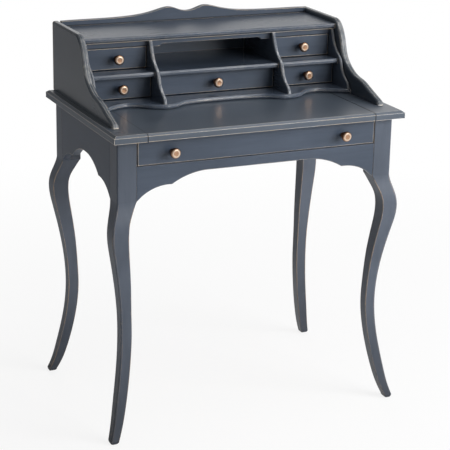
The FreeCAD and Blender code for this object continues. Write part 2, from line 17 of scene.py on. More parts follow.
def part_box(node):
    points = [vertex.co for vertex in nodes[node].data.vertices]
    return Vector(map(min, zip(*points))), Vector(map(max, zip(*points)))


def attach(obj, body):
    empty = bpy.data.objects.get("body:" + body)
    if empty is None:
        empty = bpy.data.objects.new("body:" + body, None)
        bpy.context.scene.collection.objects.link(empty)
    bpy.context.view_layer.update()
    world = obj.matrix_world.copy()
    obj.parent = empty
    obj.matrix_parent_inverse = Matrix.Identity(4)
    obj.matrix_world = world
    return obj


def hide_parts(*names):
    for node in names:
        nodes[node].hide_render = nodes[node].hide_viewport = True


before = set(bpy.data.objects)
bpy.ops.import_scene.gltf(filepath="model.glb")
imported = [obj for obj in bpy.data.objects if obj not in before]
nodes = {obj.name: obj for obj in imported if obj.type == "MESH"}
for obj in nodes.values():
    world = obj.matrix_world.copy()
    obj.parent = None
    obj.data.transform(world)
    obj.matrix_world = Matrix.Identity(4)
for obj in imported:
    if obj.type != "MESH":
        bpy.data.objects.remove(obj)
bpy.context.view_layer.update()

# %% [markdown]
# The camera comes first, because every later choice is judged through it. The desk is seen from its left
# front corner and from above, through a long lens, so that its upright lines stay nearly parallel. Three
# turns place the view: a yaw about the upright axis, a pitch below the horizon and a slight roll.
# Writing the three axes as vectors shows what a camera matrix is: its columns are the picture's right,
# the picture's up, and the way back to the viewer.

# %% Camera
camera_place = Vector((-1.5682, -3.4986, 1.6867))
camera_yaw = 0.4249
camera_pitch = 0.3121
camera_roll = 0.0201
focal_pixels = 1540.1
picture_pixels = 450
sensor_width = 36.0
scene = bpy.context.scene

forward = Vector((math.sin(camera_yaw) * math.cos(camera_pitch),
                  math.cos(camera_yaw) * math.cos(camera_pitch),
                  -math.sin(camera_pitch)))
level = Vector((math.cos(camera_yaw), -math.sin(camera_yaw), 0))
upright = level.cross(forward)
right = level * math.cos(camera_roll) + upright * math.sin(camera_roll)
up = upright * math.cos(camera_roll) - level * math.sin(camera_roll)

lens = bpy.data.cameras.new("portrait_lens")
lens.sensor_width = sensor_width
lens.lens = focal_pixels / picture_pixels * sensor_width
camera = bpy.data.objects.new("portrait_camera", lens)
turn = Matrix((right, up, -forward)).transposed()
camera.matrix_world = Matrix.Translation(camera_place) @ turn.to_4x4()
scene.collection.objects.link(camera)
scene.camera = camera
print("lens %.1f mm" % lens.lens)

# %% [markdown]
# Shaders are graphs of small nodes, and most of the nodes here are sums, blends and noises. A handful of
# helpers that take either a number or another node's output keep the recipes below short enough to read.

# %% Small helpers for shader nodes
def plug(tree, socket, value):
    """Link value to the socket if it is another node's output, and set it there if it is a number."""
    if isinstance(value, bpy.types.NodeSocket):
        tree.links.new(value, socket)
    else:
        socket.default_value = value


def add(tree, kind, **sockets):
    """A new shader node. Each keyword feeds the input of that name."""
    node = tree.nodes.new("ShaderNode" + kind)
    for name, value in sockets.items():
        plug(tree, node.inputs[name.replace("_", " ")], value)
    return node


def maths(tree, operation, first, second=0.0):
    """One operation on two values, each a number or a socket."""
    node = tree.nodes.new("ShaderNodeMath")
    node.operation = operation
    plug(tree, node.inputs[0], first)
    plug(tree, node.inputs[1], second)
    return node.outputs[0]


def vectors(tree, operation, first, second):
    """The same for two vectors. The answer is a vector."""
    node = tree.nodes.new("ShaderNodeVectorMath")
    node.operation = operation
    plug(tree, node.inputs[0], first)
    plug(tree, node.inputs[1], second)
    return node.outputs[0]


def weighted(tree, first, first_weight, second, second_weight):
    """The sum of two values, each times its weight."""
    return maths(tree, "ADD", maths(tree, "MULTIPLY", first, first_weight),
                 maths(tree, "MULTIPLY", second, second_weight))


def length_of(tree, vector):
    """Length of a vector."""
    node = tree.nodes.new("ShaderNodeVectorMath")
    node.operation = "LENGTH"
    plug(tree, node.inputs[0], vector)
    return node.outputs["Value"]


def axes_of(tree, vector):
    """A vector's three numbers."""
    return add(tree, "SeparateXYZ", Vector=vector).outputs


print("shader helpers:",
      [made.__name__ for made in (plug, add, maths, vectors, weighted, length_of, axes_of)])

# %% [markdown]
# Paints and metals have a few more things in common. They blend colours, squeeze a value into a range
# and are broken up by noise. A colour is easiest to choose as a picture shows it, from 0 to 255. Shaders
# add up light instead, and the sRGB curve leads from one to the other.

# %% Helpers for colours and materials
def mixed(tree, share, first, second):
    """Colour that goes from first to second as share goes from 0 to 1."""
    node = tree.nodes.new("ShaderNodeMix")
    node.data_type = "RGBA"
    for socket, value in zip((node.inputs[0], node.inputs[6], node.inputs[7]), (share, first, second)):
        plug(tree, socket, value)
    return node.outputs[2]


def stretched(tree, value, low, high, to_low=0.0, to_high=1.0):
    """Map low..high to to_low..to_high, and hold it there beyond."""
    node = add(tree, "MapRange", Value=value, From_Min=low, From_Max=high, To_Min=to_low, To_Max=to_high)
    return node.outputs[0]


def noise(tree, place, scale, detail=4.0, roughness=0.55):
    """Cloudy noise from 0 to 1, scale lumps to a metre."""
    return add(tree, "TexNoise", Vector=place, Scale=scale, Detail=detail, Roughness=roughness).outputs[0]


def paint_rgb(red, green, blue):
    """A colour as a picture shows it, turned by the sRGB curve into the linear light that shaders use."""
    share = np.array([red, green, blue]) / 255
    linear = np.where(share <= 0.04045, share / 12.92, ((share + 0.055) / 1.055) ** 2.4)
    return (*linear.tolist(), 1.0)


def new_material(name):
    """An empty material. Returns it with its node tree and its main shader."""
    material = bpy.data.materials.new(name)
    material.use_nodes = True
    return material, material.node_tree, material.node_tree.nodes["Principled BSDF"]


print("slate blue in linear light:", [round(v, 3) for v in paint_rgb(74, 82, 95)])

# %% [markdown]
# The studio is a pale floor under a white sky. Light Path tells the world which rays ask. The camera
# sees plain white, and so do mirror-like reflections towards the right, where the backdrop hangs.
# Reflections towards the left see a dim room, as in a studio that is lit from the right, so the desk's
# left side keeps its depth. The rays that bring light see that dim sky on every side.

# %% Sky
sky_strength = 0.28
dim_until = 0.0
white_from = 0.25
white = (1, 1, 1, 1)

scene.view_settings.view_transform = "Standard"


def asked_for_looks(tree, to_right):
    """1 for rays that show this to the camera, straight or in a reflection, and 0 for rays that bring
    light. Reflections count towards the right only: to_right is how far right a place lies, -1 to 1."""
    path = add(tree, "LightPath").outputs
    mirrored = maths(tree, "MAXIMUM", path["Is Glossy Ray"], path["Is Transmission Ray"])
    bright_side = stretched(tree, to_right, dim_until, white_from)
    return maths(tree, "MAXIMUM", path["Is Camera Ray"], maths(tree, "MULTIPLY", mirrored, bright_side))


world = bpy.data.worlds.new("white_sky")
world.use_nodes = True
scene.world = world
sky = world.node_tree
background = sky.nodes["Background"]
background.inputs["Color"].default_value = white
to_right = axes_of(sky, add(sky, "TexCoord").outputs["Object"])[0]
looks = asked_for_looks(sky, to_right)
plug(sky, background.inputs["Strength"], stretched(sky, looks, 0.0, 1.0, sky_strength, 1.0))
print("sky: 1.00 to look at, %.2f to light with" % sky_strength)

# %% [markdown]
# The floor is one wide pale sheet. A plain matte paint would turn grey wherever little light falls. So
# the paint is mixed with a white glow that only the camera and reflections see, as with the sky. Near the
# desk the glow is weaker, and the floor keeps the desk's shadow. Farther out it is full, and the floor goes
# over into the background without a line.

# %% Floor
floor_size = 30.0
floor_tones = (paint_rgb(238, 238, 239), paint_rgb(246, 246, 246))
floor_roughness = 0.6
floor_cloud_scale = 1.4
glow_near, glow_far = 0.84, 1.0
glow_start, glow_end = 0.55, 2.3

half = floor_size / 2
corners = [(-half, -half, 0), (half, -half, 0), (half, half, 0), (-half, half, 0)]
floor_mesh = bpy.data.meshes.new("studio_floor")
floor_mesh.from_pydata(corners, [], [(0, 1, 2, 3)])
floor = bpy.data.objects.new("studio_floor", floor_mesh)
scene.collection.objects.link(floor)

floor_paint, ground, matte = new_material("studio_floor_paint")
matte.inputs["Roughness"].default_value = floor_roughness
place = add(ground, "TexCoord").outputs["Object"]
cloud = noise(ground, place, floor_cloud_scale)
plug(ground, matte.inputs["Base Color"], mixed(ground, cloud, *floor_tones))
away = length_of(ground, place)
glow_share = stretched(ground, away, glow_start, glow_end, glow_near, glow_far)
to_right = maths(ground, "DIVIDE", axes_of(ground, place)[0], away)
glow = add(ground, "Emission", Color=white, Strength=1.0)
both = ground.nodes.new("ShaderNodeMixShader")
plug(ground, both.inputs[0], maths(ground, "MULTIPLY", asked_for_looks(ground, to_right), glow_share))
plug(ground, both.inputs[1], matte.outputs[0])
plug(ground, both.inputs[2], glow.outputs[0])
plug(ground, ground.nodes["Material Output"].inputs["Surface"], both.outputs[0])
floor_mesh.materials.append(floor_paint)
print("floor %.0f m wide, full white from %.1f m outward" % (floor_size, glow_end))

# %% [markdown]
# Four softboxes light the desk. The largest stands low at the right front. It lights the fronts and draws
# the shadows to the left of the knobs. A weaker one nearer to the middle reaches into the gallery, and a
# small one overhead puts a line of light on the bevel of the top. The fourth is weak and stands behind the
# desk, to light its back for whoever walks round it. The first and the last stay out of reflections: they
# are large, and would glare in the top for whoever looks from the other side.

# %% Lamps
lamps = (
    # name, place and aim in metres, size in metres, power in watts, whether reflections show it
    ("key_softbox", (2.9, -2.6, 1.8), (0, 0, 0.6), 1.8, 140.0, False),
    ("front_softbox", (1.6, -3.4, 2.1), (0, 0, 0.8), 1.0, 44.0, True),
    ("overhead_softbox", (1.0, -0.4, 3.3), (0, -0.2, 0.8), 0.9, 12.0, True),
    ("back_softbox", (0.6, 3.3, 1.8), (0, 0, 0.6), 1.6, 14.0, False))


def softbox(name, place, aim, size, power, mirrored):
    """A square lamp at place that shines towards aim. Returns the distance between the two."""
    light = bpy.data.lights.new(name, "AREA")
    light.energy = power
    light.shape = "SQUARE"
    light.size = size
    lamp = bpy.data.objects.new(name, light)
    lamp.location = place
    lamp.rotation_mode = "QUATERNION"
    beam = Vector(aim) - Vector(place)
    lamp.rotation_quaternion = beam.to_track_quat("-Z", "Y")
    lamp.visible_glossy = mirrored
    scene.collection.objects.link(lamp)
    return beam.length


print("softboxes:", [round(softbox(*lamp), 1) for lamp in lamps], "m from what they light")

# %% [markdown]
# No edge of real joinery is perfectly sharp: it has been sanded, and the paint rounds it further. The
# gables, shelves and drawer fronts have their roundings in the model. Nine plainer boards get theirs here.
# Their meshes are loose triangles, so a Weld modifier joins them first, and a Bevel modifier then rounds
# each edge that is sharper than its angle limit. The moving leaf and the rails beside it stay as they
# are, because the fine seams between them would open.

# %% Softened edges of the plain boards
softened = ("front_apron", "back_panel", "left_side_apron", "right_side_apron", "back_board",
            "pigeonhole_valance", "drawer_top_rails", "main_drawer_sides", "main_drawer_back")
soft_width = 0.0009
soft_segments = 2
weld_reach = 0.00002
sharp_angle = math.radians(40)

for name in softened:
    weld = nodes[name].modifiers.new("weld", "WELD")
    weld.merge_threshold = weld_reach
    bevel = nodes[name].modifiers.new("soft_edges", "BEVEL")
    bevel.width = soft_width
    bevel.segments = soft_segments
    bevel.limit_method = "ANGLE"
    bevel.angle_limit = sharp_angle
    bevel.use_clamp_overlap = True
print("softened boards:", len(softened))

# %% [markdown]
# The desk's finish is a slate-coloured satin paint, brushed on along the grain and then rubbed back.
# Where hands and cloths pass, along every open edge, the paint is thin, and a tan undercoat shows in a
# broken line. A picture of wear could be painted on, but it would have to be drawn anew for every board.
# The shader finds the edges by itself instead. The Bevel node gives the normal that the surface would
# have if its edges were rounded: on an open face that is the face's own normal, and near an edge it
# leans over. How far it leans tells how near the edge is, and the direction in which it leans tells
# which edge that is.

# %% Where the edges are
bevel_samples = 8


def lean_at_edges(tree, radius):
    """Rounded normal r, less its part along the own normal n: r - (r.n) n. It is zero on an open face and
    points over the edge beside one."""
    soft = tree.nodes.new("ShaderNodeBevel")
    soft.samples = bevel_samples
    soft.inputs["Radius"].default_value = radius
    own = add(tree, "NewGeometry").outputs["Normal"]
    along = tree.nodes.new("ShaderNodeVectorMath")
    along.operation = "DOT_PRODUCT"
    plug(tree, along.inputs[0], soft.outputs[0])
    plug(tree, along.inputs[1], own)
    part = tree.nodes.new("ShaderNodeVectorMath")
    part.operation = "SCALE"
    plug(tree, part.inputs[0], own)
    plug(tree, part.inputs["Scale"], along.outputs["Value"])
    return vectors(tree, "SUBTRACT", soft.outputs[0], part.outputs[0])


print("each edge is felt with", bevel_samples, "rays")

# %% [markdown]
# Not every edge is worn alike. A board that ends in a joint has no open edge there, so leaning in that
# direction gets no weight. An apron is worn along its scallops only, and the back board along its crest.
# The line where the back board meets the shelf is darkened, a painted shade in that inner corner. The
# gables' curved noses are paler all over, partly rubbed by every sleeve that brushes past and partly a
# painted highlight.

# %% Which edges of the boards are worn
shelf_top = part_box("upper_shelf")[1][2]
back_middle = (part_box("back_board")[0][1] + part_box("back_board")[1][1]) / 2
soft_step = 0.001
# A painted shade darkens the back board in a thin line just above the shelf.
shade_line_core, shade_line_reach = 0.0015, 0.0035
level_weight = 0.3
# How much a gable's forward-facing nose is lightened: partly rubbed paint, partly a painted highlight.
nose_starts, nose_full, nose_rub_and_highlight = -0.3, -0.6, 0.070


def board_edges(*weights):
    """Edges of a board: the lean, each axis times its weight. No dirt."""
    def find(tree, place, lean):
        return length_of(tree, vectors(tree, "MULTIPLY", lean, weights)), None
    return find


def apron_edges(tree, place, lean):
    """Only lean downward counts."""
    return maths(tree, "MAXIMUM", maths(tree, "MULTIPLY", axes_of(tree, lean)[2], -1.0), 0.0), None


def crest_edges(tree, place, lean):
    """Only lean upward counts. The line where the board's front meets the shelf gets a painted shade."""
    spot = axes_of(tree, place)
    off_shelf = maths(tree, "ABSOLUTE", maths(tree, "SUBTRACT", spot[2], shelf_top))
    in_front = stretched(tree, spot[1], back_middle + soft_step, back_middle - soft_step)
    # Painted shade along the inner corner with the shelf.
    painted_shade_line = maths(tree, "MULTIPLY", stretched(tree, off_shelf, shade_line_reach, shade_line_core), in_front)
    return maths(tree, "MAXIMUM", axes_of(tree, lean)[2], 0.0), painted_shade_line


def gable_edges(tree, place, lean):
    """Sideways and forward lean count, and lean upward at the level top. The foot is a joint. The nose,
    which faces forward, is paler all over, partly rubbed and partly a painted highlight."""
    over = axes_of(tree, lean)
    upward = maths(tree, "MAXIMUM", maths(tree, "MULTIPLY", over[2], level_weight), 0.0)
    edge = length_of(tree, add(tree, "CombineXYZ", X=over[0], Y=over[1], Z=upward).outputs[0])
    facing = axes_of(tree, add(tree, "NewGeometry").outputs["Normal"])
    # The forward-facing nose is lightened all over, partly rubbed paint and partly a painted highlight.
    nose = stretched(tree, facing[1], nose_starts, nose_full, 0.0, nose_rub_and_highlight)
    return maths(tree, "MAXIMUM", edge, nose), None


print("dust on the upper shelf, %.3f m above the floor" % shelf_top)

# %% [markdown]
# A leg is worn on the arrises that look outward, and on the others only below the aprons. Beside the
# aprons its inner arris is a joint, which collects dirt, and so does the foot. The top is worn round its
# outer border, and the seams between its leaf and its rails stay dark.

# %% Which edges of the legs and the top are worn
half_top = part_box("top_right_rail")[1][0]
top_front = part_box("top_right_rail")[0][1]
half_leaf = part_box("top_right_rail")[0][0]
apron_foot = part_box("front_apron")[0][2]
outward_weight, joint_weight = 1.4, 2.0
below_starts, below_full = 0.004, 0.016
foot_reach, foot_dirt = 0.30, 0.38
border = 0.011
seam_reach, seam_core = 0.0018, 0.00054


def leg_edges(tree, place, lean):
    """Lean away from the desk's middle counts everywhere, and lean towards it only below the aprons. Dirt
    collects in the joints beside the aprons and at the foot."""
    spot, over = axes_of(tree, place), axes_of(tree, lean)
    outward = [maths(tree, "MULTIPLY", over[k], maths(tree, "SIGN", spot[k])) for k in (0, 1)]
    away = maths(tree, "ADD", *[maths(tree, "MAXIMUM", value, 0.0) for value in outward])
    back = maths(tree, "ADD", *[maths(tree, "MAXIMUM", maths(tree, "MULTIPLY", value, -1.0), 0.0)
                                for value in outward])
    below = stretched(tree, spot[2], apron_foot - below_starts, apron_foot - below_full)
    worn = weighted(tree, away, outward_weight, back, below)
    above = maths(tree, "SUBTRACT", 1.0, below)
    joint = maths(tree, "MULTIPLY", above, maths(tree, "MULTIPLY", back, joint_weight))
    return worn, maths(tree, "MAXIMUM", joint, stretched(tree, spot[2], foot_reach, 0.0, 0.0, foot_dirt))


def top_edges(tree, place, lean):
    """Lean to a side counts near the top's sides, and lean forward or backward near its front and back.
    The seams collect dirt."""
    spot = axes_of(tree, place)
    across, along = maths(tree, "ABSOLUTE", spot[0]), maths(tree, "ABSOLUTE", spot[1])
    side = stretched(tree, across, half_top - border, half_top - border + soft_step)
    front = stretched(tree, along, -top_front - border, -top_front - border + soft_step)
    weights = add(tree, "CombineXYZ", X=side, Y=front, Z=1.0).outputs[0]
    off_seam = maths(tree, "ABSOLUTE", maths(tree, "SUBTRACT", across, half_leaf))
    seam = stretched(tree, off_seam, seam_reach, seam_core)
    return length_of(tree, vectors(tree, "MULTIPLY", lean, weights)), seam


print("top %.3f m wide, seams at %.4f m" % (2 * half_top, half_leaf))

# %% [markdown]
# The paint is one slate blue. The legs and the top get a lighter pair of near tones, a painted light, and
# the gables a darker pair, a painted shade. Under the paint lies a tan undercoat. Where the paint is rubbed
# thin it looks greyer. Along the rounded noses and the top's bevel it is a pale grey, partly paint that
# hands have rubbed to a burnish and partly a painted highlight.

# %% Colours of the paint
# The legs' and top's pairs are lighter, a painted light, and the gables' pair darker, a painted shade.
paint_tones = (paint_rgb(58, 67, 80), paint_rgb(71, 80, 94))
leg_tones_painted_light = (paint_rgb(68, 75, 86), paint_rgb(82, 89, 101))
gable_tones_painted_shade = (paint_rgb(52, 60, 69), paint_rgb(63, 71, 81))
top_tones_painted_light = (paint_rgb(70, 78, 88), paint_rgb(82, 90, 101))
undercoat = paint_rgb(212, 194, 170)
leg_undercoat = paint_rgb(178, 152, 124)
rubbed = paint_rgb(122, 125, 130)
# This pale grey on rounded edges is partly burnished paint and partly a painted highlight.
burnished_and_highlight = paint_rgb(204, 205, 205)
dirt_and_shade_dark = paint_rgb(22, 25, 31)
print("undercoat in linear light:", [round(v, 3) for v in undercoat])

# %% [markdown]
# A brush leaves streaks along the board. Noise on plain coordinates is round. So the coordinates are
# multiplied by less along the grain than across it, and the same noise then makes streaks.

# %% Streaks along the grain
along_the_grain = 7.0
across_the_grain = 95.0


def drawn_out(tree, place, axis, along, across):
    """The place times along on one axis, 0, 1 or 2, and times across on the other two."""
    scale = [across] * 3
    scale[axis] = along
    return add(tree, "Mapping", Vector=place, Scale=scale).outputs[0]


def grain_places(tree, axis):
    """Object coordinates, and the same drawn out, so that a noise on them makes streaks along the axis."""
    place = add(tree, "TexCoord").outputs["Object"]
    return place, drawn_out(tree, place, axis, along_the_grain, across_the_grain)


print("streaks %.0f times as long as wide" % (across_the_grain / along_the_grain))

# %% [markdown]
# The paint itself is a blend of two near tones, in streaks along the grain and in soft clouds. The wear
# goes over it in two steps, first the rubbed and paler paint, then the bare undercoat, each broken up by
# noise. On the rounded noses and the top's bevel the paler paint is a pale grey that is partly a painted
# highlight. The bare undercoat is duller than the paint, and the brush strokes stand up a little as ridges.

# %% Slate paint
# How far from an edge the lean is felt, in metres
hair, slim, fine, eased = 0.0016, 0.0024, 0.003, 0.0045
# Lumps to a metre: clouds of tone, chips along an edge, and stretches of it that are worn more or less
cloud_scale, chip_scale, stretch_scale = 6.0, 85.0, 10.0
stroke_share, cloud_share = 0.4, 0.6
tone_range = (0.34, 0.66)
chip_weight, stretch_weight = 0.9, 1.1
thin_range, bare_range = (0.15, 0.75), (0.72, 1.12)
dirt_and_shade_full, dirt_and_shade_cover = 0.5, 0.85
sheen_range = (0.3, 0.7)
smoother, rougher, bare_rougher = 0.03, 0.04, 0.15
level_range = (0.75, 0.95)
wax_roughness = 0.1
stroke_ridge, chip_ridge, ridge_height = 0.7, 0.3, 0.001


def slate_paint(name, axis, edges, radius=fine, ramp=(0.10, 0.42), roughness=0.36, mirror=0.35,
                tones=paint_tones, thinned_and_highlight=rubbed, bared=undercoat, relief=0.05, upright_roughness=None,
                wax=0.0):
    """Brushed paint on a board with its grain along axis 0, 1 or 2. ramp gives the lean at which the paint
    starts to thin and the lean at which it is gone. upright_roughness is for the upright faces alone, and
    wax is a smooth coat, which draws bright lines along the rounded edges."""
    material, tree, shader = new_material(name)
    place, drawn = grain_places(tree, axis)
    strokes = noise(tree, drawn, scale=1.0, detail=5.0, roughness=0.6)
    clouds = noise(tree, place, cloud_scale, detail=3.0)
    chips = noise(tree, place, chip_scale, detail=5.0, roughness=0.62)
    stretches = noise(tree, place, stretch_scale, detail=2.0)
    tone = weighted(tree, strokes, stroke_share, clouds, cloud_share)
    paint = mixed(tree, stretched(tree, tone, *tone_range), *tones)

    found, dirt = edges(tree, place, lean_at_edges(tree, radius))
    edge = stretched(tree, found, *ramp)
    breaks = weighted(tree, chips, chip_weight, stretches, stretch_weight)
    worn = maths(tree, "ADD", edge, maths(tree, "SUBTRACT", breaks, 1.0))
    # Where the paler colour is the burnished grey, this share is partly a painted highlight.
    thin = maths(tree, "MULTIPLY", stretched(tree, worn, *thin_range), edge)
    bare = maths(tree, "MULTIPLY", stretched(tree, worn, *bare_range), edge)
    colour = mixed(tree, bare, mixed(tree, thin, paint, thinned_and_highlight), bared)
    # Dirt in the seams, joints and feet, and at the back board's crest a painted shade.
    if dirt is not None:
        colour = mixed(tree, stretched(tree, dirt, 0.0, dirt_and_shade_full, 0.0, dirt_and_shade_cover), colour, dirt_and_shade_dark)
    plug(tree, shader.inputs["Base Color"], colour)

    shader.inputs["Specular IOR Level"].default_value = mirror
    shader.inputs["Coat Weight"].default_value = wax
    shader.inputs["Coat Roughness"].default_value = wax_roughness
    sheen = stretched(tree, tone, *sheen_range, roughness - smoother, roughness + rougher)
    if upright_roughness:
        facing = axes_of(tree, add(tree, "NewGeometry").outputs["Normal"])[2]
        more = stretched(tree, facing, *level_range, upright_roughness - roughness, 0.0)
        sheen = maths(tree, "ADD", sheen, more)
    dull = maths(tree, "ADD", sheen, maths(tree, "MULTIPLY", bare, bare_rougher))
    plug(tree, shader.inputs["Roughness"], dull)
    ridges = weighted(tree, strokes, stroke_ridge, chips, chip_ridge)
    bump = add(tree, "Bump", Strength=relief, Distance=ridge_height, Height=ridges)
    plug(tree, shader.inputs["Normal"], bump.outputs[0])
    return material


paint_apron = slate_paint("slate_paint_aprons", 0, apron_edges)
print("paint of the aprons:", len(paint_apron.node_tree.nodes), "nodes")

# %% [markdown]
# The other boards get the same paint with the grain along their own length and with their own worn edges.
# The gallery's uprights and its lower shelves are rubbed smooth by hands and were waxed, so they shine
# more. The top is smooth as well, but its upright edge is dull. The rails above the small drawers are out
# of reach and show no wear.

# %% The paint's other kinds
paint_back = slate_paint("slate_paint_back", 0, crest_edges, ramp=(0.08, 0.34))
paint_calm = slate_paint("slate_paint_unworn", 0, board_edges(0, 0, 0))
paint_drawer = slate_paint("slate_paint_drawers", 0, board_edges(1, 1, 1), ramp=(0.06, 0.26))
paint_side = slate_paint("slate_paint_sides", 1, apron_edges, roughness=0.40, mirror=0.3)
paint_leg = slate_paint("slate_paint_legs", 2, leg_edges, slim, (0.04, 0.16), roughness=0.40,
                        tones=leg_tones_painted_light, bared=leg_undercoat)
# On the gables, uprights, shelves and top the pale burnished grey is partly a painted highlight.
paint_gable = slate_paint("slate_paint_gables", 1, gable_edges, eased, (0.052, 0.10), roughness=0.24,
                          mirror=0.42, tones=gable_tones_painted_shade, thinned_and_highlight=burnished_and_highlight, relief=0.01)
paint_upright = slate_paint("slate_paint_uprights", 1, board_edges(1, 1, 0), fine, (0.03, 0.12),
                            roughness=0.22, mirror=0.5, thinned_and_highlight=burnished_and_highlight, relief=0.02, wax=0.5)
paint_shelf = slate_paint("slate_paint_shelves", 0, board_edges(0, 1, 1), fine, (0.04, 0.14),
                          roughness=0.24, mirror=0.32, thinned_and_highlight=burnished_and_highlight, relief=0.02, wax=0.5)
paint_upper = slate_paint("slate_paint_upper_shelf", 0, board_edges(0, 1, 1), fine, (0.04, 0.14),
                          roughness=0.28, mirror=0.25, thinned_and_highlight=burnished_and_highlight, relief=0.02)
paint_top = slate_paint("slate_paint_top", 0, top_edges, hair, (0.08, 0.26), roughness=0.30, mirror=0.46,
                        tones=top_tones_painted_light, thinned_and_highlight=burnished_and_highlight, relief=0.01, upright_roughness=0.4)
print("kinds of paint:", len([m for m in bpy.data.materials if m.name.startswith("slate_paint")]))

# %% [markdown]
# Inside the drawers and under the top the wood was never painted. It is planed pine: pale early wood,
# darker late wood in lines along the grain, and fine pores. The lines are the contours of a drawn-out
# noise, which bend and close round as the rings of a sawn board do.

# %% Bare wood
early_wood = paint_rgb(206, 170, 124)
late_wood = paint_rgb(158, 112, 70)
rings_along, rings_across = 0.9, 9.0
ring_count, ring_sharpness = 14.0, 2.2
pore_scale, pore_depth = 2.2, 0.0006
line_share, pore_share = 0.6, 0.45
wood_tone_range = (0.15, 0.95)
wood_sheen_range, wood_roughness = (0.3, 0.7), (0.52, 0.68)


def planed_wood(name, axis):
    """Unpainted board with its grain along axis 0, 1 or 2."""
    material, tree, shader = new_material(name)
    place, drawn = grain_places(tree, axis)
    along_rings = drawn_out(tree, place, axis, rings_along, rings_across)
    rings = noise(tree, along_rings, scale=1.0, detail=2.0, roughness=0.4)
    saw = maths(tree, "FRACT", maths(tree, "MULTIPLY", rings, ring_count))
    lines = maths(tree, "POWER", saw, ring_sharpness)
    pores = noise(tree, drawn, pore_scale, detail=5.0, roughness=0.7)
    tone = weighted(tree, lines, line_share, pores, pore_share)
    colour = mixed(tree, stretched(tree, tone, *wood_tone_range), early_wood, late_wood)
    plug(tree, shader.inputs["Base Color"], colour)
    plug(tree, shader.inputs["Roughness"], stretched(tree, pores, *wood_sheen_range, *wood_roughness))
    bump = add(tree, "Bump", Strength=0.2, Distance=pore_depth, Height=pores)
    plug(tree, shader.inputs["Normal"], bump.outputs[0])
    return material


wood_along_x, wood_along_y, wood_along_z = (planed_wood("planed_wood_along_" + letter, axis)
                                            for axis, letter in enumerate("xyz"))
print("bare wood:", [wood.name for wood in (wood_along_x, wood_along_y, wood_along_z)])

# %% [markdown]
# The knobs are turned copper. On a lathe a shape is one line, the profile, carried round an axis. A
# smooth curve through a few points gives the radius and the reach at every step. The profile has what
# the plain solid lacks: a face that is dished a little inside a soft ring, and a hollow neck over a
# small collar.

# %% The profile of a knob
knob_points = np.array([
    (0.0, 24.7), (4.0, 24.8), (7.0, 25.1), (9.2, 24.8), (11.3, 23.3), (12.7, 20.8), (12.95, 18.6),
    (12.4, 17.0), (10.8, 16.0), (8.0, 14.6), (5.9, 12.8), (4.9, 10.2), (4.8, 7.4), (5.4, 5.0), (6.5, 3.9),
    (7.0, 2.9), (7.0, 0.0), (0.0, 0.0)]) / 1000
steps_between = 5


def smooth_profile(points, steps):
    """Curve through the points: on each stretch a cubic with the slope of the points on either side."""
    padded = np.vstack([points[:1], points, points[-1:]])
    t = (np.arange(steps) / steps)[None, :, None]
    before, start, end, after = (padded[k:k + len(points) - 1, None, :] for k in range(4))
    curve = 0.5 * (2 * start + (end - before) * t + (2 * before - 5 * start + 4 * end - after) * t ** 2
                   + (3 * start - before - 3 * end + after) * t ** 3)
    return np.vstack([curve.reshape(-1, 2), points[-1:]])


body_part = smooth_profile(knob_points[:-2], steps_between)
profile = np.vstack([body_part, knob_points[-2:]])
profile[:, 0] = np.maximum(profile[:, 0], 0.0)
knob_width = 2 * profile[:, 0].max()
print("knob profile: %d steps, widest %.4f m" % (len(profile), knob_width))

# %% [markdown]
# The Spin tool or a Screw modifier could turn the profile. Here two arrays do it, one for the steps along
# the profile and one for the turn: together they give all the vertices at once. The crown and the foot are
# closed with triangles. Each vertex remembers its place along the profile, for the copper's tones, which
# include a painted highlight and a painted shade.

# %% Turn a knob
turns = 72


def turned_knob(x, face_y, z):
    """Vertices (x + r cos a, face_y - out, z + r sin a) for the profile's (r, out) and turns a, each one's
    share of the way along the profile, the quads between the rings, and the triangles at both ends."""
    angle = np.linspace(0, 2 * np.pi, turns, endpoint=False)
    radius, out = profile[1:-1, 0][:, None], profile[1:-1, 1][:, None]
    rings = np.stack([x + radius * np.cos(angle), face_y - out + 0 * angle, z + radius * np.sin(angle)], -1)
    count = len(rings)
    crown = np.array([[x, face_y - profile[0, 1], z]])
    foot = np.array([[x, face_y - profile[-1, 1], z]])
    points = np.vstack([rings.reshape(-1, 3), crown, foot])
    along = np.concatenate([np.repeat(np.arange(1, count + 1), turns), [0, count + 1]]) / (count + 1)
    k, a = np.meshgrid(np.arange(count - 1), np.arange(turns), indexing="ij")
    b = (a + 1) % turns
    quads = np.stack([k * turns + a, (k + 1) * turns + a, (k + 1) * turns + b, k * turns + b], -1)
    a = np.arange(turns)
    b = (a + 1) % turns
    last = (count - 1) * turns
    crown_faces = np.stack([a, b, np.full(turns, count * turns)], -1)
    foot_faces = np.stack([last + b, last + a, np.full(turns, count * turns + 1)], -1)
    return points, along, quads.reshape(-1, 4), np.vstack([crown_faces, foot_faces])


print("one knob:", len(turned_knob(0, 0, 0)[0]), "vertices")

# %% [markdown]
# A turned knob stands where the plain one of its drawer stands, and rides with that drawer. The box
# round the plain knob gives its middle, and the side of the box towards the desk is the drawer's face.
# The long drawer's two knobs are one node, so they are one piece here too.

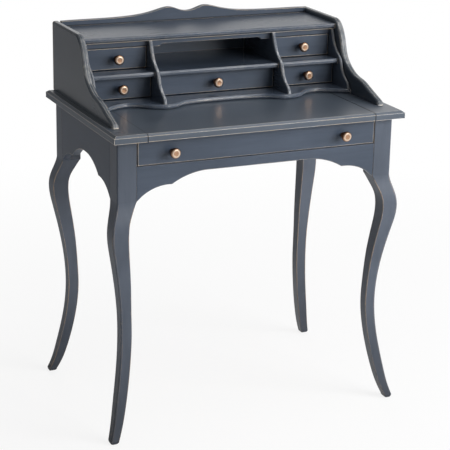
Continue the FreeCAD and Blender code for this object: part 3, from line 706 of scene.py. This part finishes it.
# %% Put the knobs on the drawers
def knob_piece(node_name, body, places):
    """One object with a turned knob at each place, which stands for the plain knobs of that node."""
    parts = [turned_knob(*place) for place in places]
    starts = np.cumsum([0] + [len(part[0]) for part in parts[:-1]])
    faces = []
    for part, start in zip(parts, starts):
        faces += (part[2] + start).tolist() + (part[3] + start).tolist()
    mesh = bpy.data.meshes.new("turned_" + node_name)
    mesh.from_pydata(np.vstack([part[0] for part in parts]).tolist(), [], faces)
    mesh.shade_smooth()
    along = mesh.attributes.new("along_profile", "FLOAT", "POINT")
    along.data.foreach_set("value", np.concatenate([part[1] for part in parts]).astype(np.float32))
    mesh.validate()
    piece = bpy.data.objects.new("turned_" + node_name, mesh)
    scene.collection.objects.link(piece)
    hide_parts(node_name)
    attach(piece, body)
    return piece


knob_pieces = []
for name in [name for name in nodes if name.endswith("_knob")]:
    low, high = (np.array(corner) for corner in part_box(name))
    middle = (low + high) / 2
    knob_pieces.append(knob_piece(name, name[:-len("_knob")], [(middle[0], high[1], middle[2])]))
low, high = (np.array(corner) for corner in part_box("main_drawer_knobs"))
knob_radius = (high[2] - low[2]) / 2
main_places = [(x, high[1], (low[2] + high[2]) / 2) for x in (low[0] + knob_radius, high[0] - knob_radius)]
knob_pieces.append(knob_piece("main_drawer_knobs", "main_drawer", main_places))
print("turned knobs:", len(knob_pieces) + 1, "of", len(knob_pieces[0].data.polygons), "faces")

# %% [markdown]
# The copper's tones run along the knob. It is darkest in the hollow of the neck and under the head,
# where old copper tarnishes and where the tone is also a painted shade. The ring round the face, polished
# most, is brightest, and it and the pale face are painted highlights as well. The mesh carries each
# vertex's place along the profile as an attribute, so a colour ramp along it can give each part its tone.
# A mottled noise and the fine rings of the turning tool break the colour up.

# %% Copper
# Along the profile: the pale ring and face are painted highlights, the dark neck a painted shade.
copper_tones_and_painted_light = [(0.00, paint_rgb(184, 142, 113)), (0.09, paint_rgb(190, 150, 121)),
                (0.16, paint_rgb(242, 224, 204)), (0.22, paint_rgb(216, 180, 150)),
                (0.30, paint_rgb(146, 102, 77)), (0.40, paint_rgb(94, 64, 49)),
                (0.80, paint_rgb(80, 55, 43)), (0.92, paint_rgb(122, 87, 66))]
copper_tarnish = paint_rgb(112, 76, 57)
mottle_scale = 210.0
tarnish_range, tarnish_share = (0.45, 0.75), 0.5
metal_sheen_range = (0.3, 0.7)
copper_roughness = (0.26, 0.42)
tool_rings, tool_depth = 420.0, 0.0004


def aged_copper(name):
    """Copper toned along the profile, with a painted highlight and painted shade, and a mottled tarnish."""
    material, tree, shader = new_material(name)
    shader.inputs["Metallic"].default_value = 1.0
    along = tree.nodes.new("ShaderNodeAttribute")
    along.attribute_name = "along_profile"
    reach = along.outputs["Fac"]
    tones = add(tree, "ValToRGB", Fac=reach)
    ramp = tones.color_ramp.elements
    for place, tone in copper_tones_and_painted_light[1:-1]:
        ramp.new(place).color = tone
    ramp[0].position, ramp[0].color = copper_tones_and_painted_light[0]
    ramp[-1].position, ramp[-1].color = copper_tones_and_painted_light[-1]
    mottle = noise(tree, add(tree, "TexCoord").outputs["Object"], mottle_scale, detail=4.0, roughness=0.6)
    dull = stretched(tree, mottle, *tarnish_range, 0.0, tarnish_share)
    plug(tree, shader.inputs["Base Color"], mixed(tree, dull, tones.outputs[0], copper_tarnish))
    plug(tree, shader.inputs["Roughness"], stretched(tree, mottle, *metal_sheen_range, *copper_roughness))
    rings = maths(tree, "SINE", maths(tree, "MULTIPLY", reach, tool_rings))
    bump = add(tree, "Bump", Strength=0.05, Distance=tool_depth, Height=rings)
    plug(tree, shader.inputs["Normal"], bump.outputs[0])
    return material


copper = aged_copper("aged_copper")
for piece in knob_pieces:
    piece.data.materials.append(copper)
print("copper on", len(knob_pieces), "pieces")

# %% [markdown]
# The screws are plated with zinc. It is a grey metal whose crystals set in paler and darker spots, so one
# fine noise gives both its colour and its sheen.

# %% Zinc
zinc_pale = paint_rgb(196, 198, 202)
zinc_dark = paint_rgb(150, 152, 156)
spangle_scale, spangle_range = 400.0, (0.35, 0.7)
zinc_roughness = (0.3, 0.5)


def zinc_plate(name):
    """Mottled zinc, duller where it is darker."""
    material, tree, shader = new_material(name)
    shader.inputs["Metallic"].default_value = 1.0
    spangle = noise(tree, add(tree, "TexCoord").outputs["Object"], spangle_scale, detail=5.0, roughness=0.6)
    colour = mixed(tree, stretched(tree, spangle, *spangle_range), zinc_pale, zinc_dark)
    plug(tree, shader.inputs["Base Color"], colour)
    plug(tree, shader.inputs["Roughness"], stretched(tree, spangle, *metal_sheen_range, *zinc_roughness))
    return material


zinc = zinc_plate("zinc_plate")
print("zinc on", len([name for name in nodes if "screw" in name]), "pieces")

# %% [markdown]
# Each piece of the frame now gets its finish by name. Boards take the paint whose grain runs along their
# length, because a painter brushes along the grain, and hidden joinery keeps its bare wood.

# %% Which finish goes on which piece
finishes = {
    paint_apron: ("front_apron", "back_panel", "pigeonhole_valance"),
    paint_back: ("back_board",),
    paint_calm: ("drawer_top_rails",),
    paint_side: ("left_side_apron", "right_side_apron"),
    paint_gable: ("left_gable", "right_gable"),
    paint_upright: ("left_divider", "right_divider", "left_inner_panel", "right_inner_panel"),
    paint_shelf: ("base_shelf", "left_mid_shelf", "right_mid_shelf", "centre_mid_shelf"),
    paint_upper: ("upper_shelf",),
    paint_top: ("writing_leaf", "top_rear_rail", "top_left_rail", "top_right_rail"),
    wood_along_x: ("main_drawer_back", "main_drawer_bottom"),
    wood_along_z: ("corner_blocks", "gallery_dowels"),
}
finish_by_name = {name: material for material, names in finishes.items() for name in names}


def finish_of(name):
    """The material for a node, from its name."""
    if name in finish_by_name:
        return finish_by_name[name]
    if "screw" in name:
        return zinc
    if "knob" in name:
        return copper
    if name.endswith("_leg"):
        return paint_leg
    return paint_drawer if name.endswith("_front") else wood_along_y


for name, node in nodes.items():
    for slot in node.material_slots:
        slot.material = finish_of(name)
print("finishes:", len({finish_of(name).name for name in nodes}))
